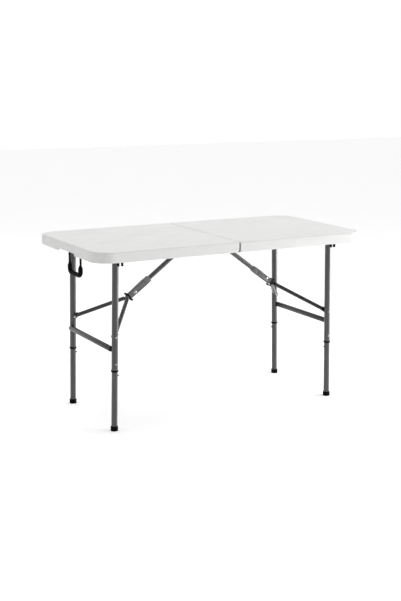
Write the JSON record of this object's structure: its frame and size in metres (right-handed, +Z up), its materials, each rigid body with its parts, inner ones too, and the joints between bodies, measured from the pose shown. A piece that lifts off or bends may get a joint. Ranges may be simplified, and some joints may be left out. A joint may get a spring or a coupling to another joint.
{
  "type": "folding table",
  "caption": "Folding table with a hinged two-part moulded top, two folding leg frames with locking braces, telescopic legs and a carry handle.",
  "frame": {"origin": "centre of the footprint, on the floor under the feet", "axes": "+X along the length to the right half, +Y to the back, +Z up"},
  "size_m": [1.22, 0.61, 0.72],
  "materials": {
    "white_plastic": "fine-grained moulded plastic",
    "black_plastic": "satin black moulded plastic",
    "foot_plastic": "matt black foot cap",
    "grey_steel": "grey powder coat, fine texture",
    "zinc": "bright zinc plate"
  },
  "bodies": {
    "root": {"top_left": "white_plastic", "side_rails_left": "grey_steel", "screws_left": "zinc", "pivot_brackets_left": "black_plastic", "brace_bracket_left": "grey_steel", "brace_pin_left": "zinc", "hinge_leaves_left": "grey_steel", "hinge_pins": "zinc", "seam_strip": "black_plastic", "handle_clips": "black_plastic"},
    "right_half": {"top_right": "white_plastic", "side_rails_right": "grey_steel", "screws_right": "zinc", "pivot_brackets_right": "black_plastic", "brace_bracket_right": "grey_steel", "brace_pin_right": "zinc", "hinge_leaves_right": "grey_steel"},
    "leg_frame_left": {"leg_tubes_left": "grey_steel", "pivot_bar_left": "grey_steel", "crossbar_left": "grey_steel", "leg_collars_left": "black_plastic", "leg_rivets_left": "zinc"},
    "brace_left": {"brace_tube_left": "grey_steel", "brace_channel_left": "grey_steel", "knee_rivet_left": "zinc"},
    "arms_left": {"arm_yoke_left": "grey_steel", "front_arm_left": "grey_steel", "back_arm_left": "grey_steel", "arm_rivets_left": "zinc"},
    "ring_left": {"lock_ring_left": "black_plastic"},
    "slider_front_left": {"leg_slider_front_left": "grey_steel", "foot_cap_front_left": "foot_plastic", "button_spring_front_left": "zinc"},
    "button_front_left": {"leg_button_front_left": "black_plastic"},
    "slider_back_left": {"leg_slider_back_left": "grey_steel", "foot_cap_back_left": "foot_plastic", "button_spring_back_left": "zinc"},
    "button_back_left": {"leg_button_back_left": "black_plastic"},
    "leg_frame_right": {"leg_tubes_right": "grey_steel", "pivot_bar_right": "grey_steel", "crossbar_right": "grey_steel", "leg_collars_right": "black_plastic", "leg_rivets_right": "zinc"},
    "brace_right": {"brace_tube_right": "grey_steel", "brace_channel_right": "grey_steel", "knee_rivet_right": "zinc"},
    "arms_right": {"arm_yoke_right": "grey_steel", "front_arm_right": "grey_steel", "back_arm_right": "grey_steel", "arm_rivets_right": "zinc"},
    "ring_right": {"lock_ring_right": "black_plastic"},
    "slider_front_right": {"leg_slider_front_right": "grey_steel", "foot_cap_front_right": "foot_plastic", "button_spring_front_right": "zinc"},
    "button_front_right": {"leg_button_front_right": "black_plastic"},
    "slider_back_right": {"leg_slider_back_right": "grey_steel", "foot_cap_back_right": "foot_plastic", "button_spring_back_right": "zinc"},
    "button_back_right": {"leg_button_back_right": "black_plastic"},
    "handle": {"handle": "black_plastic"}
  },
  "joints": [
    {"name": "top_fold", "type": "hinge", "parent": "root", "child": "right_half", "pos_m": [0, 0, 0.674], "axis": [0, -1, 0], "range_deg": [-70, 0]},
    {"name": "leg_fold_left", "type": "hinge", "parent": "root", "child": "leg_frame_left", "pos_m": [-0.49071, 0, 0.696], "axis": [0, -1, 0], "range_deg": [0, 70]},
    {"name": "brace_swing_left", "type": "hinge", "parent": "root", "child": "brace_left", "pos_m": [-0.051, 0, 0.692], "axis": [0, -1, 0], "range_deg": [-36.7, 0.1]},
    {"name": "knee_left", "type": "hinge", "parent": "brace_left", "child": "arms_left", "pos_m": [-0.3145, 0, 0.497], "axis": [0, -1, 0], "range_deg": [-0.1, 151.72]},
    {"name": "ring_slide_left", "type": "slide", "parent": "brace_left", "child": "ring_left", "axis": [0.8038, 0, 0.5949], "range_m": [-0.0001, 0.1401]},
    {"name": "leg_slide_front_left", "type": "slide", "parent": "leg_frame_left", "child": "slider_front_left", "axis": [0.0191, 0, 0.9998], "range_m": [0, 0.19], "deforming": ["leg_button_front_left"]},
    {"name": "button_press_front_left", "type": "slide", "parent": "slider_front_left", "child": "button_front_left", "axis": [-0.9998, 0, 0.0191], "range_m": [0, 0.0035], "stiffness_N_per_m": 800, "springref_m": -0.0005, "deforming": ["button_spring_front_left"]},
    {"name": "leg_slide_back_left", "type": "slide", "parent": "leg_frame_left", "child": "slider_back_left", "axis": [0.0191, 0, 0.9998], "range_m": [0, 0.19], "deforming": ["leg_button_back_left"]},
    {"name": "button_press_back_left", "type": "slide", "parent": "slider_back_left", "child": "button_back_left", "axis": [-0.9998, 0, 0.0191], "range_m": [0, 0.0035], "stiffness_N_per_m": 800, "springref_m": -0.0005, "deforming": ["button_spring_back_left"]},
    {"name": "leg_fold_right", "type": "hinge", "parent": "right_half", "child": "leg_frame_right", "pos_m": [0.49071, 0, 0.696], "axis": [0, 1, 0], "range_deg": [0, 70]},
    {"name": "brace_swing_right", "type": "hinge", "parent": "right_half", "child": "brace_right", "pos_m": [0.051, 0, 0.692], "axis": [0, 1, 0], "range_deg": [-36.7, 0.1]},
    {"name": "knee_right", "type": "hinge", "parent": "brace_right", "child": "arms_right", "pos_m": [0.3145, 0, 0.497], "axis": [0, 1, 0], "range_deg": [-0.1, 151.72]},
    {"name": "ring_slide_right", "type": "slide", "parent": "brace_right", "child": "ring_right", "axis": [-0.8038, 0, 0.5949], "range_m": [-0.0001, 0.1401]},
    {"name": "leg_slide_front_right", "type": "slide", "parent": "leg_frame_right", "child": "slider_front_right", "axis": [-0.0191, 0, 0.9998], "range_m": [0, 0.19], "deforming": ["leg_button_front_right"]},
    {"name": "button_press_front_right", "type": "slide", "parent": "slider_front_right", "child": "button_front_right", "axis": [0.9998, 0, 0.0191], "range_m": [0, 0.0035], "stiffness_N_per_m": 800, "springref_m": -0.0005, "deforming": ["button_spring_front_right"]},
    {"name": "leg_slide_back_right", "type": "slide", "parent": "leg_frame_right", "child": "slider_back_right", "axis": [-0.0191, 0, 0.9998], "range_m": [0, 0.19], "deforming": ["leg_button_back_right"]},
    {"name": "button_press_back_right", "type": "slide", "parent": "slider_back_right", "child": "button_back_right", "axis": [0.9998, 0, 0.0191], "range_m": [0, 0.0035], "stiffness_N_per_m": 800, "springref_m": -0.0005, "deforming": ["button_spring_back_right"]},
    {"name": "handle_swing", "type": "hinge", "parent": "root", "child": "handle", "pos_m": [-0.569, 0, 0.683], "axis": [0, 1, 0], "range_deg": [-80, 88]}
  ],
  "couplings": [
    {"joint": "brace_swing_left", "follows": "leg_fold_left", "ratio": -0.5228},
    {"joint": "knee_left", "follows": "leg_fold_left", "ratio": 2.166},
    {"joint": "ring_slide_left", "follows": "leg_fold_left", "m_per_rad": 0.11459},
    {"joint": "brace_swing_right", "follows": "leg_fold_right", "ratio": -0.5228},
    {"joint": "knee_right", "follows": "leg_fold_right", "ratio": 2.166},
    {"joint": "ring_slide_right", "follows": "leg_fold_right", "m_per_rad": 0.11459}
  ]
}
